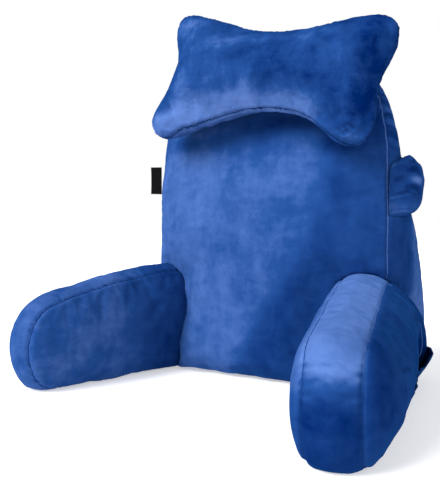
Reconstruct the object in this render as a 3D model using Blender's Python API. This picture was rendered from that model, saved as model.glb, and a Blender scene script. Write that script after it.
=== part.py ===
"""Support pillow: a wedge back cushion with two arm bolsters, a head pillow, a side handle,
a side pocket and a small blank tag, all sewn from plush fabric.

Metres, +Z up. The sitter's side faces -Y and the floor is Z = 0.
"""

import math

import bmesh
import bpy
import numpy as np

GAP = 0.0004

# Back cushion: half outline of its front panel (out from the middle, height), from the middle of
# the bottom edge upwards, then depth and crowns by height.
BACK_OUTLINE = [
    (0.000, 0.000),
    (0.194, 0.000),
    (0.208, 0.005),
    (0.215, 0.020),
    (0.217, 0.120),
    (0.216, 0.255),
    (0.213, 0.345),
    (0.206, 0.405),
    (0.197, 0.442),
    (0.180, 0.472),
    (0.150, 0.492),
    (0.100, 0.504),
    (0.000, 0.510),
]
BACK_MIDDLE = 0.235
BACK_LEAN = 0.036
BACK_DEPTH = (
    [0.00, 0.05, 0.10, 0.15, 0.21, 0.27, 0.31, 0.35, 0.40, 0.45, 0.51],
    [0.168, 0.182, 0.186, 0.180, 0.155, 0.116, 0.089, 0.064, 0.046, 0.038, 0.036],
)
FRONT_CROWN = ([0.0, 0.1, 0.25, 0.40, 0.50], [0.022, 0.040, 0.052, 0.034, 0.012])
REAR_CROWN = ([0.0, 0.1, 0.25, 0.40, 0.50], [0.004, 0.030, 0.044, 0.034, 0.012])
BOTTOM_BOW = 0.026
BOTTOM_SKEW = 0.10
SIDE_BULGE = 0.012

# Arm bolsters: a D-shaped profile between an inner and an outer seam.
ARM_BAND = 0.062
ARM_BAND_ROLL = 0.012
ARM_INNER_CROWN = 0.025
ARM_OUTER_CROWN = 0.045
ARM_SPLAY = math.radians(14.5)
ARM_RISE = 0.175
ARM_NOSE_RISE = 0.134
ARM_REACH = {-1: 0.289, 1: 0.320}

# Head pillow: knots of its seam in its own plane, right then up, clockwise from the upper left
# ear: four ears with the three dips and the straight left side between them.
HEAD_OUTLINE = [
    (-0.166, 0.103),
    (-0.127, 0.110),
    (-0.027, 0.077),
    (0.061, 0.067),
    (0.144, 0.078),
    (0.191, 0.079),
    (0.215, 0.051),
    (0.200, 0.012),
    (0.190, -0.030),
    (0.194, -0.084),
    (0.179, -0.108),
    (0.146, -0.104),
    (0.108, -0.077),
    (0.047, -0.059),
    (-0.022, -0.063),
    (-0.095, -0.084),
    (-0.164, -0.101),
    (-0.194, -0.070),
    (-0.162, -0.015),
    (-0.155, 0.039),
]
HEAD_SCALE = 1.015
HEAD_PLACE = (0.024, -0.045, 0.484)
HEAD_YAW = math.radians(3.0)
HEAD_ROLL = math.radians(-4.5)
HEAD_PITCH = math.radians(8.0)
HEAD_FRONT = 0.046
HEAD_REAR = 0.053

# Side handle: stations (y, x beyond the side seam, middle height, half height, half thickness).
HANDLE_STATIONS = [
    (0.010, 0.003, 0.300, 0.033, 0.006),
    (0.022, 0.007, 0.302, 0.037, 0.008),
    (0.038, 0.012, 0.306, 0.039, 0.010),
    (0.054, 0.017, 0.311, 0.040, 0.013),
    (0.070, 0.019, 0.316, 0.040, 0.015),
    (0.086, 0.016, 0.320, 0.036, 0.016),
    (0.100, 0.007, 0.323, 0.030, 0.014),
    (0.110, -0.005, 0.324, 0.023, 0.011),
    (0.116, -0.014, 0.324, 0.014, 0.006),
]

# Side pocket: stations (distance along the arm from the front of the back cushion's side, rim
# height, how far the rim stands open).
POCKET_STATIONS = [
    (0.150, 0.050, 0.003),
    (0.110, 0.052, 0.004),
    (0.060, 0.050, 0.005),
    (0.010, 0.047, 0.006),
    (-0.035, 0.047, 0.007),
    (-0.075, 0.052, 0.009),
    (-0.110, 0.062, 0.009),
    (-0.140, 0.058, 0.005),
]
POCKET_SHEET = 0.0024

# Blank tag sewn into the left side seam.
TAG_SIZE = (0.026, 0.0016, 0.048)
TAG_PLACE = (-0.2290, 0.0115, 0.336)


PLUSH = ("blue_plush", (0.045, 0.130, 0.400), 0.85)
TAPE = ("black_tape", (0.012, 0.012, 0.014), 0.60)


def material(name, colour, roughness):
    """A plain fabric material, made once and shared."""
    made = bpy.data.materials.get(name)
    if made is None:
        made = bpy.data.materials.new(name)
        made.use_nodes = True
        shader = made.node_tree.nodes["Principled BSDF"]
        shader.inputs["Base Color"].default_value = (*colour, 1.0)
        shader.inputs["Roughness"].default_value = roughness
        shader.inputs["Metallic"].default_value = 0.0
        made.diffuse_color = (*colour, 1.0)
    return made


def smooth_loop(points, passes):
    """Each point of a closed loop averaged with its neighbours."""
    for _ in range(passes):
        points = 0.5 * points + 0.25 * (np.roll(points, 1, axis=0) + np.roll(points, -1, axis=0))
    return points


def smooth_line(values, passes):
    """An open row of numbers averaged with its neighbours, its two ends kept."""
    values = values.copy()
    for _ in range(passes):
        values[1:-1] = 0.5 * values[1:-1] + 0.25 * (values[:-2] + values[2:])
    return values


def eased(table):
    """A table of (heights, values) turned into a finer one without kinks."""
    heights = np.linspace(table[0][0], table[0][-1], 60)
    return heights, smooth_line(np.interp(heights, *table), 24)


def even_loop(points, count):
    """A closed loop sampled at equal steps of its length."""
    closed = np.vstack([points, points[:1]])
    steps = np.linalg.norm(np.diff(closed, axis=0), axis=1)
    along = np.concatenate([[0.0], np.cumsum(steps)])
    wanted = np.linspace(0.0, along[-1], count, endpoint=False)
    return np.stack([np.interp(wanted, along, closed[:, k]) for k in range(closed.shape[1])], axis=1)


def curved_loop(knots):
    """A smooth closed curve through a short table of knots."""
    before, after = np.roll(knots, 1, axis=0), np.roll(knots, -1, axis=0)
    beyond = np.roll(knots, -2, axis=0)
    spans = []
    for t in np.linspace(0.0, 1.0, 12, endpoint=False):
        span = 2.0 * knots + (after - before) * t
        span = span + (2.0 * before - 5.0 * knots + 4.0 * after - beyond) * t**2
        span = span + (3.0 * knots - before - 3.0 * after + beyond) * t**3
        spans.append(0.5 * span)
    return np.stack(spans, axis=1).reshape(-1, 2)


def loop_normals(points):
    """Outward unit normals of an anticlockwise closed loop in its plane."""
    tangent = np.roll(points, -1, axis=0) - np.roll(points, 1, axis=0)
    tangent /= np.linalg.norm(tangent, axis=1)[:, None]
    return np.stack([tangent[:, 1], -tangent[:, 0]], axis=1)


def stretched_skin(outline, cell, rounds):
    """Heights of an evenly filled skin held along an outline, as a function of points."""
    low = outline.min(axis=0) - 2.0 * cell
    size = np.ceil((outline.max(axis=0) + 2.0 * cell - low) / cell).astype(int) + 1
    first = low[0] + cell * np.arange(size[0])
    second = low[1] + cell * np.arange(size[1])
    inside = np.zeros(tuple(size), dtype=bool)
    following = np.roll(outline, -1, axis=0)
    for (ax, ay), (bx, by) in zip(outline, following):
        if ay == by:
            continue
        crossed = (second >= min(ay, by)) & (second < max(ay, by))
        where = ax + (second - ay) * (bx - ax) / (by - ay)
        inside ^= crossed[None, :] & (first[:, None] < where[None, :])
    height = np.zeros(tuple(size))
    for _ in range(rounds):
        around = np.roll(height, 1, 0) + np.roll(height, -1, 0)
        around += np.roll(height, 1, 1) + np.roll(height, -1, 1)
        height = np.where(inside, 0.25 * (around + 1.0), 0.0)
    height = np.sqrt(height / height.max())

    def sample(points):
        place = (points - low) / cell
        corner = np.clip(np.floor(place).astype(int), 0, size - 2)
        share = place - corner
        i, j = corner[:, 0], corner[:, 1]
        u, v = share[:, 0], share[:, 1]
        lower = height[i, j] * (1 - u) + height[i + 1, j] * u
        upper = height[i, j + 1] * (1 - u) + height[i + 1, j + 1] * u
        return lower * (1 - v) + upper * v

    return sample


def stuffed_lift(skin, outline, middle, radius, edge):
    """Height of a stuffed panel on a ring, from 1 at its fullest to 0 at its seam."""
    inner = 0.78
    flat = middle + (outline - middle) * min(radius, inner)
    lift = skin(flat)
    if radius > inner:
        share = (radius - inner) / (1.0 - inner)
        ring = smooth_loop(lift[:, None], 3)[:, 0]
        lift = ring * (1.0 - share**1.7) ** edge
    return lift


def add_object(name, vertices, faces):
    mesh = bpy.data.meshes.new(name)
    mesh.from_pydata([tuple(v) for v in vertices], [], faces)
    work = bmesh.new()
    work.from_mesh(mesh)
    bmesh.ops.remove_doubles(work, verts=work.verts, dist=1e-6)
    bmesh.ops.recalc_face_normals(work, faces=work.faces)
    work.to_mesh(mesh)
    work.free()
    obj = bpy.data.objects.new(name, mesh)
    bpy.context.scene.collection.objects.link(obj)
    return obj


def loft(name, rings):
    """A closed solid through rings of equal length, each end closed by a fan."""
    count = len(rings[0])
    vertices = np.vstack([rings[0].mean(axis=0)[None], *rings, rings[-1].mean(axis=0)[None]])
    last = len(vertices) - 1
    faces = []
    for k in range(count):
        nxt = (k + 1) % count
        faces.append((0, 1 + nxt, 1 + k))
        base = 1 + (len(rings) - 1) * count
        faces.append((last, base + k, base + nxt))
        for row in range(len(rings) - 1):
            a = 1 + row * count
            b = a + count
            faces.append((a + k, a + nxt, b + nxt, b + k))
    return add_object(name, vertices, faces)


def back_rings(count):
    """Rings of the back cushion from the middle of its front panel round to the rear."""
    right = np.array(BACK_OUTLINE)
    left = right[-2:0:-1] * [-1.0, 1.0]
    outline = smooth_loop(even_loop(np.vstack([right, left]), count), 2)
    outward = loop_normals(outline)
    middle = np.array([0.0, BACK_MIDDLE])
    skin = stretched_skin(outline, 0.010, 2500)
    depth = eased(BACK_DEPTH)
    front_crown = eased(FRONT_CROWN)
    rear_crown = eased(REAR_CROWN)
    rings = []

    def seam_y(x, z):
        bow = (BOTTOM_BOW - BOTTOM_SKEW * x) * (1.0 - np.clip(np.abs(x) / 0.216, 0, 1) ** 4)
        bow = bow * np.exp(-((z / 0.10) ** 2))
        return BACK_LEAN * z - bow

    def panel(radius, crown, front):
        flat = middle + (outline - middle) * radius
        lift = np.interp(flat[:, 1], *crown) * stuffed_lift(skin, outline, middle, radius, 0.8)
        y = seam_y(flat[:, 0], flat[:, 1])
        if front:
            y = y - lift
        else:
            y = y * 0.4 + np.interp(flat[:, 1], *depth) + lift
        return np.stack([flat[:, 0], y, flat[:, 1]], axis=1)

    def band(share, outset, push):
        flat = outline + outward * outset
        front = seam_y(outline[:, 0], outline[:, 1])
        rear = 0.4 * front + np.interp(outline[:, 1], *depth)
        y = front + (rear - front) * share + push
        return np.stack([flat[:, 0], y, flat[:, 1]], axis=1)

    for radius in (0.22, 0.45, 0.65, 0.80, 0.90, 0.96):
        rings.append(panel(radius, front_crown, True))
    rings.append(band(0.0, -0.0025, -0.0016))
    rings.append(band(0.0, 0.0022, -0.0020))
    rings.append(band(0.0, 0.0018, 0.0032))
    for share in (0.12, 0.32, 0.55, 0.78, 0.93):
        rings.append(band(share, SIDE_BULGE * math.sin(math.pi * share), 0.0))
    rings.append(band(1.0, 0.0018, -0.0020))
    rings.append(band(1.0, 0.0015, 0.0025))
    for radius in (0.96, 0.88, 0.74, 0.52, 0.26):
        rings.append(panel(radius, rear_crown, False))
    for ring in rings:
        ring[:, 2] = np.maximum(ring[:, 2], 0.0)
    return rings


def arm_profile(reach, count):
    """Side outline of an arm as (along, height), anticlockwise seen from its outer side."""
    rear = [(-0.150, 0.020), (-0.156, 0.050), (-0.143, 0.092), (-0.108, 0.124), (-0.058, 0.150)]
    start = reach - 0.045
    nose = []
    for angle in np.linspace(0.0, 0.5 * math.pi, 9):
        rise = ARM_NOSE_RISE - 0.065
        nose.append((start + 0.045 * math.sin(angle), 0.065 + rise * math.cos(angle)))
    toe = []
    for angle in np.linspace(0.12, 0.5 * math.pi, 9):
        toe.append((reach - 0.038 + 0.038 * math.cos(angle), 0.065 - 0.065 * math.sin(angle)))
    top = [(-0.005, ARM_RISE - 0.002), (0.045, ARM_RISE - 0.003), (0.120, ARM_RISE - 0.013)]
    top.append((0.200, ARM_RISE - 0.028))
    points = np.array([(-0.135, 0.0)] + rear + top + nose + toe)[::-1]
    return smooth_loop(even_loop(points, count), 3)


def arm_path(side, along):
    """Plan position and outward direction of the arm's middle plane at each distance along it."""
    fine = np.linspace(-0.20, 0.40, 601)
    turn = np.clip((fine + 0.03) / 0.07, 0.0, 1.0)
    heading = ARM_SPLAY * turn * turn * (3.0 - 2.0 * turn)
    step = fine[1] - fine[0]
    x = np.cumsum(np.sin(heading)) * step
    y = -np.cumsum(np.cos(heading)) * step
    zero = np.argmin(np.abs(fine))
    x += 0.2165 - 0.5 * ARM_BAND - x[zero]
    y -= y[zero]
    angle = np.interp(along, fine, heading)
    place = np.stack([np.interp(along, fine, x), np.interp(along, fine, y)], axis=1)
    out = np.stack([np.cos(angle), np.sin(angle)], axis=1)
    return place * [side, 1.0], out * [side, 1.0]


def arm_spot(side, flat, offset):
    """World position of points of an arm, given along it, in height and across it."""
    spot, out = arm_path(side, flat[:, 0])
    plan = spot + out * np.reshape(offset, (-1, 1))
    return np.stack([plan[:, 0], plan[:, 1], np.maximum(flat[:, 1], 0.0)], axis=1)


def arm_rings(side, count):
    """Rings of an arm from the middle of its inner face across the band to its outer face."""
    profile = arm_profile(ARM_REACH[side], count)
    outward = loop_normals(profile)
    middle = np.array([0.095, 0.080])
    half = 0.5 * ARM_BAND
    skin = stretched_skin(profile, 0.008, 1200)

    def face(radius, way, crown):
        flat = middle + (profile - middle) * radius
        lift = crown * stuffed_lift(skin, profile, middle, radius, 0.48)
        return arm_spot(side, flat, way * (half + lift))

    def band(share, outset):
        offset = np.full(count, half * (2.0 * share - 1.0))
        return arm_spot(side, profile + outward * outset, offset)

    rings = [face(radius, -1.0, ARM_INNER_CROWN) for radius in (0.25, 0.52, 0.74, 0.89, 0.97)]
    rings.append(band(-0.02, 0.0022))
    for share in (0.05, 0.18, 0.5, 0.82, 0.95):
        rings.append(band(share, 0.001 + ARM_BAND_ROLL * math.sin(math.pi * share) ** 0.8))
    rings.append(band(1.02, 0.0022))
    rings += [face(radius, 1.0, ARM_OUTER_CROWN) for radius in (0.97, 0.89, 0.74, 0.52, 0.25)]
    return rings


def head_point(flat, depth):
    """World position of points given in the head pillow's own plane and depth."""
    x = flat[:, 0] * math.cos(HEAD_ROLL) - flat[:, 1] * math.sin(HEAD_ROLL)
    z = flat[:, 0] * math.sin(HEAD_ROLL) + flat[:, 1] * math.cos(HEAD_ROLL)
    y = depth * math.cos(HEAD_PITCH) + z * math.sin(HEAD_PITCH)
    z = z * math.cos(HEAD_PITCH) - depth * math.sin(HEAD_PITCH)
    turned_x = x * math.cos(HEAD_YAW) - y * math.sin(HEAD_YAW)
    turned_y = x * math.sin(HEAD_YAW) + y * math.cos(HEAD_YAW)
    return np.stack([turned_x, turned_y, z], axis=1) + HEAD_PLACE


def head_rings(count):
    """Rings of the head pillow from the middle of its front to the middle of its rear."""
    knots = HEAD_SCALE * np.array(HEAD_OUTLINE)[::-1]
    outline = smooth_loop(even_loop(curved_loop(knots), count), 2)
    outward = loop_normals(outline)
    middle = np.array([0.015, 0.002])
    skin = stretched_skin(outline, 0.007, 1200)
    rings = []
    for radius in (0.22, 0.45, 0.66, 0.82, 0.92, 0.975):
        flat = middle + (outline - middle) * radius
        lift = stuffed_lift(skin, outline, middle, radius, 0.65)
        rings.append(head_point(flat, -HEAD_FRONT * lift))
    rings.append(head_point(outline + outward * 0.0016, np.full(count, -0.002)))
    rings.append(head_point(outline + outward * 0.0016, np.full(count, 0.003)))
    for radius in (0.975, 0.92, 0.82, 0.66, 0.45, 0.22):
        flat = middle + (outline - middle) * radius
        lift = stuffed_lift(skin, outline, middle, radius, 0.65)
        rings.append(head_point(flat, HEAD_REAR * lift))
    return rings


def handle_rings(count):
    """Rings of the puffed side handle, with two folds pressed into its outer face."""
    angle = np.linspace(0.0, 2.0 * math.pi, count, endpoint=False)
    rings = []
    for y, beyond, height, half_height, half_thick in HANDLE_STATIONS:
        up = np.sin(angle)
        out = np.cos(angle)
        folds = 0.30 * np.exp(-(((up - 0.42) / 0.13) ** 2)) + 0.36 * np.exp(-(((up + 0.30) / 0.15) ** 2))
        bulge = np.sign(out) * np.abs(out) ** 0.8 * (1.0 - np.where(out > 0, folds, 0.0))
        x = 0.214 + beyond + half_thick * bulge
        z = height + half_height * up
        rings.append(np.stack([x, np.full(count, y), z], axis=1))
    return rings


def add_pocket():
    """A thin sheet following the right arm's outer face down to the floor, open along its rim."""
    stations = np.array(POCKET_STATIONS)[::-1]
    columns = 37
    rows = 8
    along = np.linspace(stations[0, 0], stations[-1, 0], columns)
    height = smooth_line(np.interp(along, stations[:, 0], stations[:, 1]), 3)
    gape = smooth_line(np.interp(along, stations[:, 0], stations[:, 2]), 3)
    profile = arm_profile(ARM_REACH[1], 84)
    skin = stretched_skin(profile, 0.008, 1200)
    folds = 0.0022 * np.sin(along * 120.0) + 0.0014 * np.sin(along * 205.0 + 1.0)
    layers = []
    for depth in (POCKET_SHEET, 0.0):
        for level in np.linspace(0.0, 1.0, rows):
            flat = np.stack([along, height * level], axis=1)
            raised = np.stack([along, np.maximum(height * level, 0.012)], axis=1)
            lift = ARM_OUTER_CROWN * smooth_line(skin(raised), 2)
            stand = 0.0022 + gape * level**1.5 + folds * level
            layers.append(arm_spot(1, flat, 0.5 * ARM_BAND + lift + stand + depth))
    points = np.vstack(layers)
    faces = []

    def corner(layer, row, column):
        return (layer * rows + row) * columns + column

    for row in range(rows - 1):
        for column in range(columns - 1):
            for layer in (0, 1):
                quad = [(layer, row, column), (layer, row, column + 1)]
                quad += [(layer, row + 1, column + 1), (layer, row + 1, column)]
                faces.append([corner(*place) for place in quad])
    for column in range(columns - 1):
        for row in (0, rows - 1):
            quad = [(0, row, column), (0, row, column + 1), (1, row, column + 1), (1, row, column)]
            faces.append([corner(*place) for place in quad])
    for row in range(rows - 1):
        for column in (0, columns - 1):
            quad = [(0, row, column), (0, row + 1, column), (1, row + 1, column), (1, row, column)]
            faces.append([corner(*place) for place in quad])
    return add_object("side_pocket", points, faces)


def add_tag():
    """A small blank tag standing out of the left seam, with its outer edge folded over."""
    width, thick, height = TAG_SIZE
    corners = []
    for x, swell in ((-0.5, 1.0), (-0.46, 1.5), (-0.35, 1.2), (0.5, 1.0)):
        half = 0.5 * thick * swell
        lean = 0.0022 * (0.5 - x)
        around = ((-half, -0.5), (half, -0.5), (half, 0.5), (-half, 0.5))
        corners.append([(x * width, y, z * height - lean) for y, z in around])
    rings = [np.array(corner) + TAG_PLACE for corner in corners]
    return loft("label_tag", rings)


def grown_copy(obj, amount):
    """A helper copy of a solid with its surface moved outward."""
    mesh = obj.data.copy()
    helper = bpy.data.objects.new(obj.name + "_grown", mesh)
    bpy.context.scene.collection.objects.link(helper)
    helper.hide_render = True
    normals = [vertex.normal.copy() for vertex in mesh.vertices]
    for vertex, normal in zip(mesh.vertices, normals):
        vertex.co += normal * amount
    return helper


def cut(obj, neighbours):
    """Takes each neighbour, with a gap around it, out of a solid and keeps the largest body."""
    for neighbour in neighbours:
        helper = grown_copy(neighbour, GAP)
        modifier = obj.modifiers.new("cut", "BOOLEAN")
        modifier.operation = "DIFFERENCE"
        modifier.solver = "EXACT"
        modifier.object = helper
        bpy.context.view_layer.update()
        graph = bpy.context.evaluated_depsgraph_get()
        result = bpy.data.meshes.new_from_object(obj.evaluated_get(graph))
        obj.modifiers.clear()
        obj.data = result
        bpy.data.objects.remove(helper)
    keep_largest(obj)


def keep_largest(obj):
    work = bmesh.new()
    work.from_mesh(obj.data)
    bmesh.ops.dissolve_degenerate(work, edges=work.edges, dist=1e-5)
    bmesh.ops.triangulate(work, faces=work.faces)
    unseen = set(work.verts)
    bodies = []
    while unseen:
        stack = [unseen.pop()]
        body = list(stack)
        while stack:
            vertex = stack.pop()
            for edge in vertex.link_edges:
                other = edge.other_vert(vertex)
                if other in unseen:
                    unseen.remove(other)
                    stack.append(other)
                    body.append(other)
        bodies.append(body)
    bodies.sort(key=len)
    for body in bodies[:-1]:
        bmesh.ops.delete(work, geom=body, context="VERTS")
    work.to_mesh(obj.data)
    work.free()


def clear_scene():
    for obj in list(bpy.data.objects):
        bpy.data.objects.remove(obj)


def dress(obj, look):
    """Gives a finished solid its one material and smooth shading."""
    obj.data.materials.clear()
    obj.data.materials.append(material(*look))
    obj.data.shade_smooth()
    obj.data.set_sharp_from_angle(angle=math.radians(50.0))


def main():
    clear_scene()
    arm_left = loft("arm_left", arm_rings(-1, 84))
    arm_right = loft("arm_right", arm_rings(1, 84))
    back = loft("back_cushion", back_rings(120))
    cut(back, [arm_left, arm_right])
    head = loft("head_pillow", head_rings(96))
    cut(head, [back])
    handle = loft("side_handle", handle_rings(40))
    cut(handle, [back])
    pocket = add_pocket()
    cut(pocket, [arm_right, back])
    tag = add_tag()
    cut(tag, [back])
    for obj in (back, arm_left, arm_right, head, handle, pocket):
        dress(obj, PLUSH)
    dress(tag, TAPE)


main()
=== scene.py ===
"""Looks of the support pillow: plush cushions with pulled seams, a puffed side handle, a side
pocket and a small blank tag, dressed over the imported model. Metres, +Z up, sitter's side -Y."""

import math

import bmesh
import bpy
import numpy as np
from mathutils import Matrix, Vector
from mathutils.bvhtree import BVHTree


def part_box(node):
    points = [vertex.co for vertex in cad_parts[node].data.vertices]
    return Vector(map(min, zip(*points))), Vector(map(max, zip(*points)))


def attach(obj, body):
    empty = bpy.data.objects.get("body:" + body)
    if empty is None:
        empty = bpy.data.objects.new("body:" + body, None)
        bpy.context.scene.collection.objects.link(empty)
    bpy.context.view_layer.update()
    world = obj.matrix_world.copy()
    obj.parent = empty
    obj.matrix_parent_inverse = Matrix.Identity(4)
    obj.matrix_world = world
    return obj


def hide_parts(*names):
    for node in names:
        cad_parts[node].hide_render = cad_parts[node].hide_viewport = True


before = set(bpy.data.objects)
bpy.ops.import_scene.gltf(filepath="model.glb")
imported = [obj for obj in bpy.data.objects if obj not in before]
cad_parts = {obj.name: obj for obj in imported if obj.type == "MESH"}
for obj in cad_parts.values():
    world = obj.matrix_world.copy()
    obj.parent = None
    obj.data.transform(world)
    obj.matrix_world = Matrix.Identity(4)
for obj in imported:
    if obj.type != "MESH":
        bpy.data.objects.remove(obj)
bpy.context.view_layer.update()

# Camera, at the photograph's viewing angle.
AZIMUTH = math.radians(34.06)
ELEVATION = math.radians(2.0)
DISTANCE = 1.0
TARGET = Vector((-0.0530, -0.0358, 0.2240))
LENS = 44.90

# Studio: strength of the even light, and soft lamps as name, direction towards it, strength, width.
AMBIENT = 0.50
SUNS = [
    ("key", (-0.34, -0.72, 0.60), 5.4, 38.0),
    ("fill", (0.80, -0.60, 0.20), 2.0, 60.0),
]

FLOOR_COLOUR = (0.70, 0.70, 0.71, 1.0)
FLOOR_GLOW = 0.46
FLOOR_HALF = 12.0
FLOOR_DROP = 0.0006

# Blue plush from its darkest to its lightest, as linear colours; the vertex tones that pick from it
# carry painted shade and painted light as well as the pile's nap.
PLUSH_STOPS = ((0.0002, 0.0090, 0.066), (0.0096, 0.0410, 0.158), (0.0660, 0.1260, 0.330))

# Voxel of each remeshed cushion, and how far it starts inside its CAD solid.
ARM_VOXEL = 0.0045
BACK_VOXEL = 0.0062
HEAD_VOXEL = 0.0040
HANDLE_VOXEL = 0.0026
SHRINK = 0.002

# The side handle starts outside its solid, and is softened more.
HANDLE_GROWTH = 0.0016
HANDLE_PASSES = 120

# Radius of an arm's rolled seam edge, and the lowest height of a cushion's points.
SEAM_RADIUS = 0.0008
LOWEST = 0.0004

# A full turn of a wave, and the latest phase that a random wave starts at.
FULL_TURN = 6.2832
LATEST_PHASE = 6.28

# Arm bolsters, as in the part.
ARM_BAND = 0.062
ARM_SPLAY = math.radians(14.5)
ARM_RISE = 0.175
ARM_NOSE_RISE = 0.134
ARM_REACH = {-1: 0.289, 1: 0.320}

# Head pillow: knots of its seam in its own plane, right then up, and its place, as in the part.
HEAD_OUTLINE = [
    (-0.166, 0.103),
    (-0.127, 0.110),
    (-0.027, 0.077),
    (0.061, 0.067),
    (0.144, 0.078),
    (0.191, 0.079),
    (0.215, 0.051),
    (0.200, 0.012),
    (0.190, -0.030),
    (0.194, -0.084),
    (0.179, -0.108),
    (0.146, -0.104),
    (0.108, -0.077),
    (0.047, -0.059),
    (-0.022, -0.063),
    (-0.095, -0.084),
    (-0.164, -0.101),
    (-0.194, -0.070),
    (-0.162, -0.015),
    (-0.155, 0.039),
]
HEAD_SCALE = 1.015
HEAD_PLACE = (0.024, -0.045, 0.484)
HEAD_YAW = math.radians(3.0)
HEAD_ROLL = math.radians(-4.5)
HEAD_PITCH = math.radians(8.0)

# Back cushion: half outline of its front panel (out from the middle, height), and its depth.
BACK_OUTLINE = [
    (0.000, 0.000),
    (0.194, 0.000),
    (0.208, 0.005),
    (0.215, 0.020),
    (0.217, 0.120),
    (0.216, 0.255),
    (0.213, 0.345),
    (0.206, 0.405),
    (0.197, 0.442),
    (0.180, 0.472),
    (0.150, 0.492),
    (0.100, 0.504),
    (0.000, 0.510),
]
BACK_LEAN = 0.036
BACK_DEPTH = (
    [0.00, 0.05, 0.10, 0.15, 0.21, 0.27, 0.31, 0.35, 0.40, 0.45, 0.51],
    [0.168, 0.182, 0.186, 0.180, 0.155, 0.116, 0.089, 0.064, 0.046, 0.038, 0.036],
)


def smooth_loop(points, passes):
    """Each point of a closed loop averaged with its neighbours."""
    for _ in range(passes):
        points = 0.5 * points + 0.25 * (np.roll(points, 1, axis=0) + np.roll(points, -1, axis=0))
    return points


def even_loop(points, count):
    """A closed loop sampled at equal steps of its length."""
    closed = np.vstack([points, points[:1]])
    steps = np.linalg.norm(np.diff(closed, axis=0), axis=1)
    along = np.concatenate([[0.0], np.cumsum(steps)])
    wanted = np.linspace(0.0, along[-1], count, endpoint=False)
    return np.stack([np.interp(wanted, along, closed[:, k]) for k in range(closed.shape[1])], axis=1)


def curved_loop(knots):
    """A smooth closed curve through a short table of knots."""
    before, after = np.roll(knots, 1, axis=0), np.roll(knots, -1, axis=0)
    beyond = np.roll(knots, -2, axis=0)
    spans = []
    for t in np.linspace(0.0, 1.0, 12, endpoint=False):
        span = 2.0 * knots + (after - before) * t
        span = span + (2.0 * before - 5.0 * knots + 4.0 * after - beyond) * t**2
        span = span + (3.0 * knots - before - 3.0 * after + beyond) * t**3
        spans.append(0.5 * span)
    return np.stack(spans, axis=1).reshape(-1, 2)


def arm_profile(reach, count):
    """Side outline of an arm as (along, height), anticlockwise seen from its outer side."""
    rear = [(-0.150, 0.020), (-0.156, 0.050), (-0.143, 0.092), (-0.108, 0.124), (-0.058, 0.150)]
    start = reach - 0.045
    nose = []
    for angle in np.linspace(0.0, 0.5 * math.pi, 9):
        rise = ARM_NOSE_RISE - 0.065
        nose.append((start + 0.045 * math.sin(angle), 0.065 + rise * math.cos(angle)))
    toe = []
    for angle in np.linspace(0.12, 0.5 * math.pi, 9):
        toe.append((reach - 0.038 + 0.038 * math.cos(angle), 0.065 - 0.065 * math.sin(angle)))
    top = [(-0.005, ARM_RISE - 0.002), (0.045, ARM_RISE - 0.003), (0.120, ARM_RISE - 0.013)]
    top.append((0.200, ARM_RISE - 0.028))
    points = np.array([(-0.135, 0.0)] + rear + top + nose + toe)[::-1]
    return smooth_loop(even_loop(points, count), 3)


def arm_path(side, along):
    """Plan position and outward direction of the arm's middle plane at each distance along it."""
    fine = np.linspace(-0.20, 0.40, 601)
    turn = np.clip((fine + 0.03) / 0.07, 0.0, 1.0)
    heading = ARM_SPLAY * turn * turn * (3.0 - 2.0 * turn)
    step = fine[1] - fine[0]
    x = np.cumsum(np.sin(heading)) * step
    y = -np.cumsum(np.cos(heading)) * step
    zero = np.argmin(np.abs(fine))
    x += 0.2165 - 0.5 * ARM_BAND - x[zero]
    y -= y[zero]
    angle = np.interp(along, fine, heading)
    place = np.stack([np.interp(along, fine, x), np.interp(along, fine, y)], axis=1)
    out = np.stack([np.cos(angle), np.sin(angle)], axis=1)
    return place * [side, 1.0], out * [side, 1.0]


def arm_spot(side, flat, offset):
    """World position of points of an arm, given along it, in height and across it."""
    spot, out = arm_path(side, flat[:, 0])
    plan = spot + out * np.reshape(offset, (-1, 1))
    return np.stack([plan[:, 0], plan[:, 1], flat[:, 1]], axis=1)


def head_point(flat, depth):
    """World position of points given in the head pillow's own plane and depth."""
    x = flat[:, 0] * math.cos(HEAD_ROLL) - flat[:, 1] * math.sin(HEAD_ROLL)
    z = flat[:, 0] * math.sin(HEAD_ROLL) + flat[:, 1] * math.cos(HEAD_ROLL)
    y = depth * math.cos(HEAD_PITCH) + z * math.sin(HEAD_PITCH)
    z = z * math.cos(HEAD_PITCH) - depth * math.sin(HEAD_PITCH)
    turned_x = x * math.cos(HEAD_YAW) - y * math.sin(HEAD_YAW)
    turned_y = x * math.sin(HEAD_YAW) + y * math.cos(HEAD_YAW)
    return np.stack([turned_x, turned_y, z], axis=1) + HEAD_PLACE


def back_seams():
    """The back cushion's front and rear seams as closed loops in the world."""
    right = np.array(BACK_OUTLINE)
    left = right[-2:0:-1] * [-1.0, 1.0]
    outline = smooth_loop(even_loop(np.vstack([right, left]), 480), 12)
    front = BACK_LEAN * outline[:, 1]
    rear = 0.4 * front + np.interp(outline[:, 1], *BACK_DEPTH)
    loops = []
    for y in (front, rear):
        loops.append(np.stack([outline[:, 0], y, outline[:, 1]], axis=1))
    return loops


def coordinates(mesh):
    """The mesh's points as rows."""
    flat = np.empty(len(mesh.vertices) * 3)
    mesh.vertices.foreach_get("co", flat)
    return flat.reshape(-1, 3)


def normals(mesh):
    """The mesh's vertex normals as rows."""
    flat = np.empty(len(mesh.vertices) * 3)
    mesh.vertex_normals.foreach_get("vector", flat)
    return flat.reshape(-1, 3)


def set_coordinates(mesh, points):
    """Moves the mesh's points."""
    mesh.vertices.foreach_set("co", np.ascontiguousarray(points).ravel())
    mesh.update()


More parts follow.
